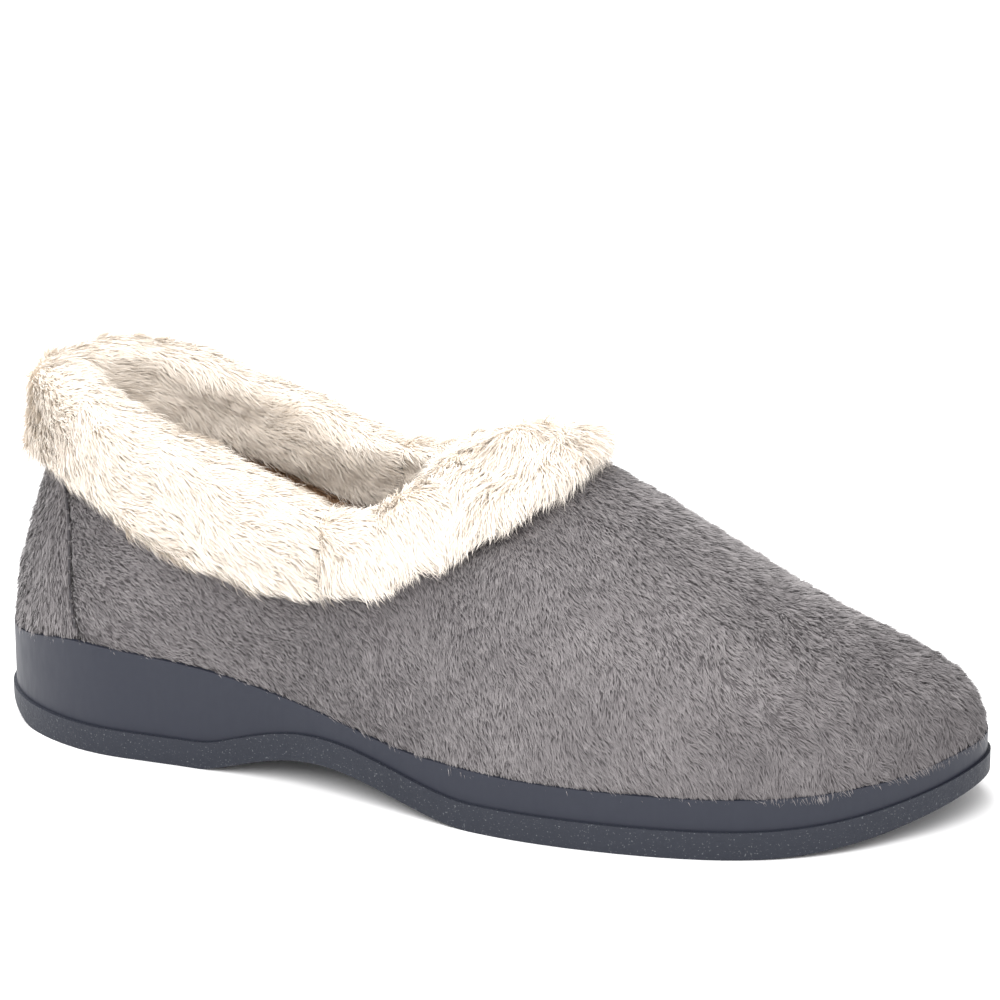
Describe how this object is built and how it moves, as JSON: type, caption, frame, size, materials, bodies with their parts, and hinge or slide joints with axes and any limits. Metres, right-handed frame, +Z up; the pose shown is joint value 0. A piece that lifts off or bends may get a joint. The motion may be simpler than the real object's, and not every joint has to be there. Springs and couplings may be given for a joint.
{
  "type": "house slipper",
  "caption": "Right-foot house slipper with a plush closed-toe upper, a deep folded fur cuff round the mouth and a low wedge sole with an arched waist.",
  "frame": {"origin": "bottom centre of the bounding box: on the floor, midway along and across the slipper", "axes": "+X towards the toe, +Y towards the inner side of the foot, +Z up"},
  "size_m": [0.252, 0.0915, 0.0934],
  "materials": {
    "sole_rubber": "rough moulded",
    "sole_wall": "smooth satin",
    "felt": "needled felt",
    "board": "fibre board, matt",
    "foam": "open-cell foam",
    "tan_plush": "short plush",
    "grey_plush": "brushed short plush",
    "cream_fur": "deep soft fur",
    "tape": "plain woven tape",
    "thread": "twisted thread"
  },
  "bodies": {
    "root": {"outsole_tread": "sole_rubber", "midsole_wedge": "sole_wall", "bottom_filler": "felt", "insole_board": "board", "footbed_foam": "foam", "sock_lining": "tan_plush", "vamp": "grey_plush", "heel_panel": "grey_plush", "heel_counter": "board", "toe_puff": "board", "topline_tape": "tape", "foam_interlining": "foam", "vamp_lining": "tan_plush", "quarter_lining": "tan_plush", "rear_cuff": "cream_fur", "front_cuff": "cream_fur", "heel_seam_stitches": "thread", "lining_seam_stitches": "thread"}
  },
  "joints": []
}
